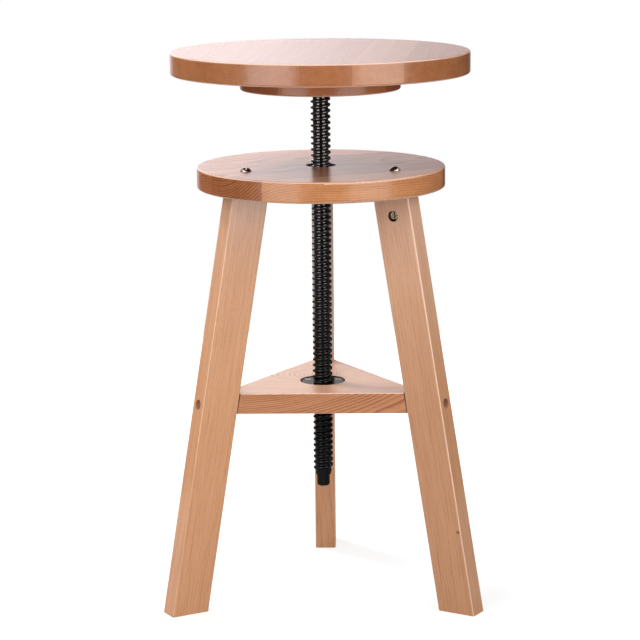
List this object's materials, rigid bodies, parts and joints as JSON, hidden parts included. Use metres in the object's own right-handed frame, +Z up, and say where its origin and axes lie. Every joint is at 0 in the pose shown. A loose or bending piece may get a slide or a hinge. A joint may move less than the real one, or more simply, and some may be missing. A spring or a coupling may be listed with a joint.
{
  "type": "swivel stool",
  "caption": "Three-legged wooden stool: round seat on a black steel lifting screw that turns in a flanged nut, splayed legs under a round frame disc, triangular shelf",
  "frame": {"origin": "centre of the stool's bounding box on the floor; the screw's axis is the vertical line X = 0, Y = -0.0153 m", "axes": "+Z up; the picture looks along +Y with +X to the right; the back leg lies towards +Y"},
  "size_m": [0.3226, 0.3306, 0.558],
  "materials": {
    "beech": "satin lacquer over beech",
    "black_steel": "gloss black",
    "nickel_bolts": "dark nickel plate",
    "nickel_screws": "zinc plate",
    "brass_barrels": "dull brass plate",
    "bronze_screws": "bronze"
  },
  "bodies": {
    "frame": {"frame_disc": "beech", "left_leg": "beech", "right_leg": "beech", "back_leg": "beech", "leg_dowels": "beech", "leg_bolts": "nickel_bolts", "barrel_nuts": "brass_barrels", "shelf": "beech", "shelf_screws": "bronze_screws", "lifting_nut": "black_steel", "nut_screws": "black_steel"},
    "lift": {"screw_tip": "black_steel"},
    "seat": {"seat": "beech", "backing_disc": "beech", "backing_screws": "nickel_screws", "screw_plate": "black_steel", "plate_screws": "nickel_screws", "lifting_screw": "black_steel"}
  },
  "joints": [
    {"name": "seat_lift", "type": "slide", "parent": "frame", "child": "lift", "axis": [0, 0, 1], "range_m": [-0.074, 0.072]},
    {"name": "seat_turn", "type": "hinge", "parent": "lift", "child": "seat", "pos_m": [0, -0.01528, 0.5], "axis": [0, 0, 1], "range_deg": [-4440, 4320]}
  ],
  "couplings": [
    {"joint": "seat_lift", "follows": "seat_turn", "m_per_rad": 0.00095492}
  ]
}
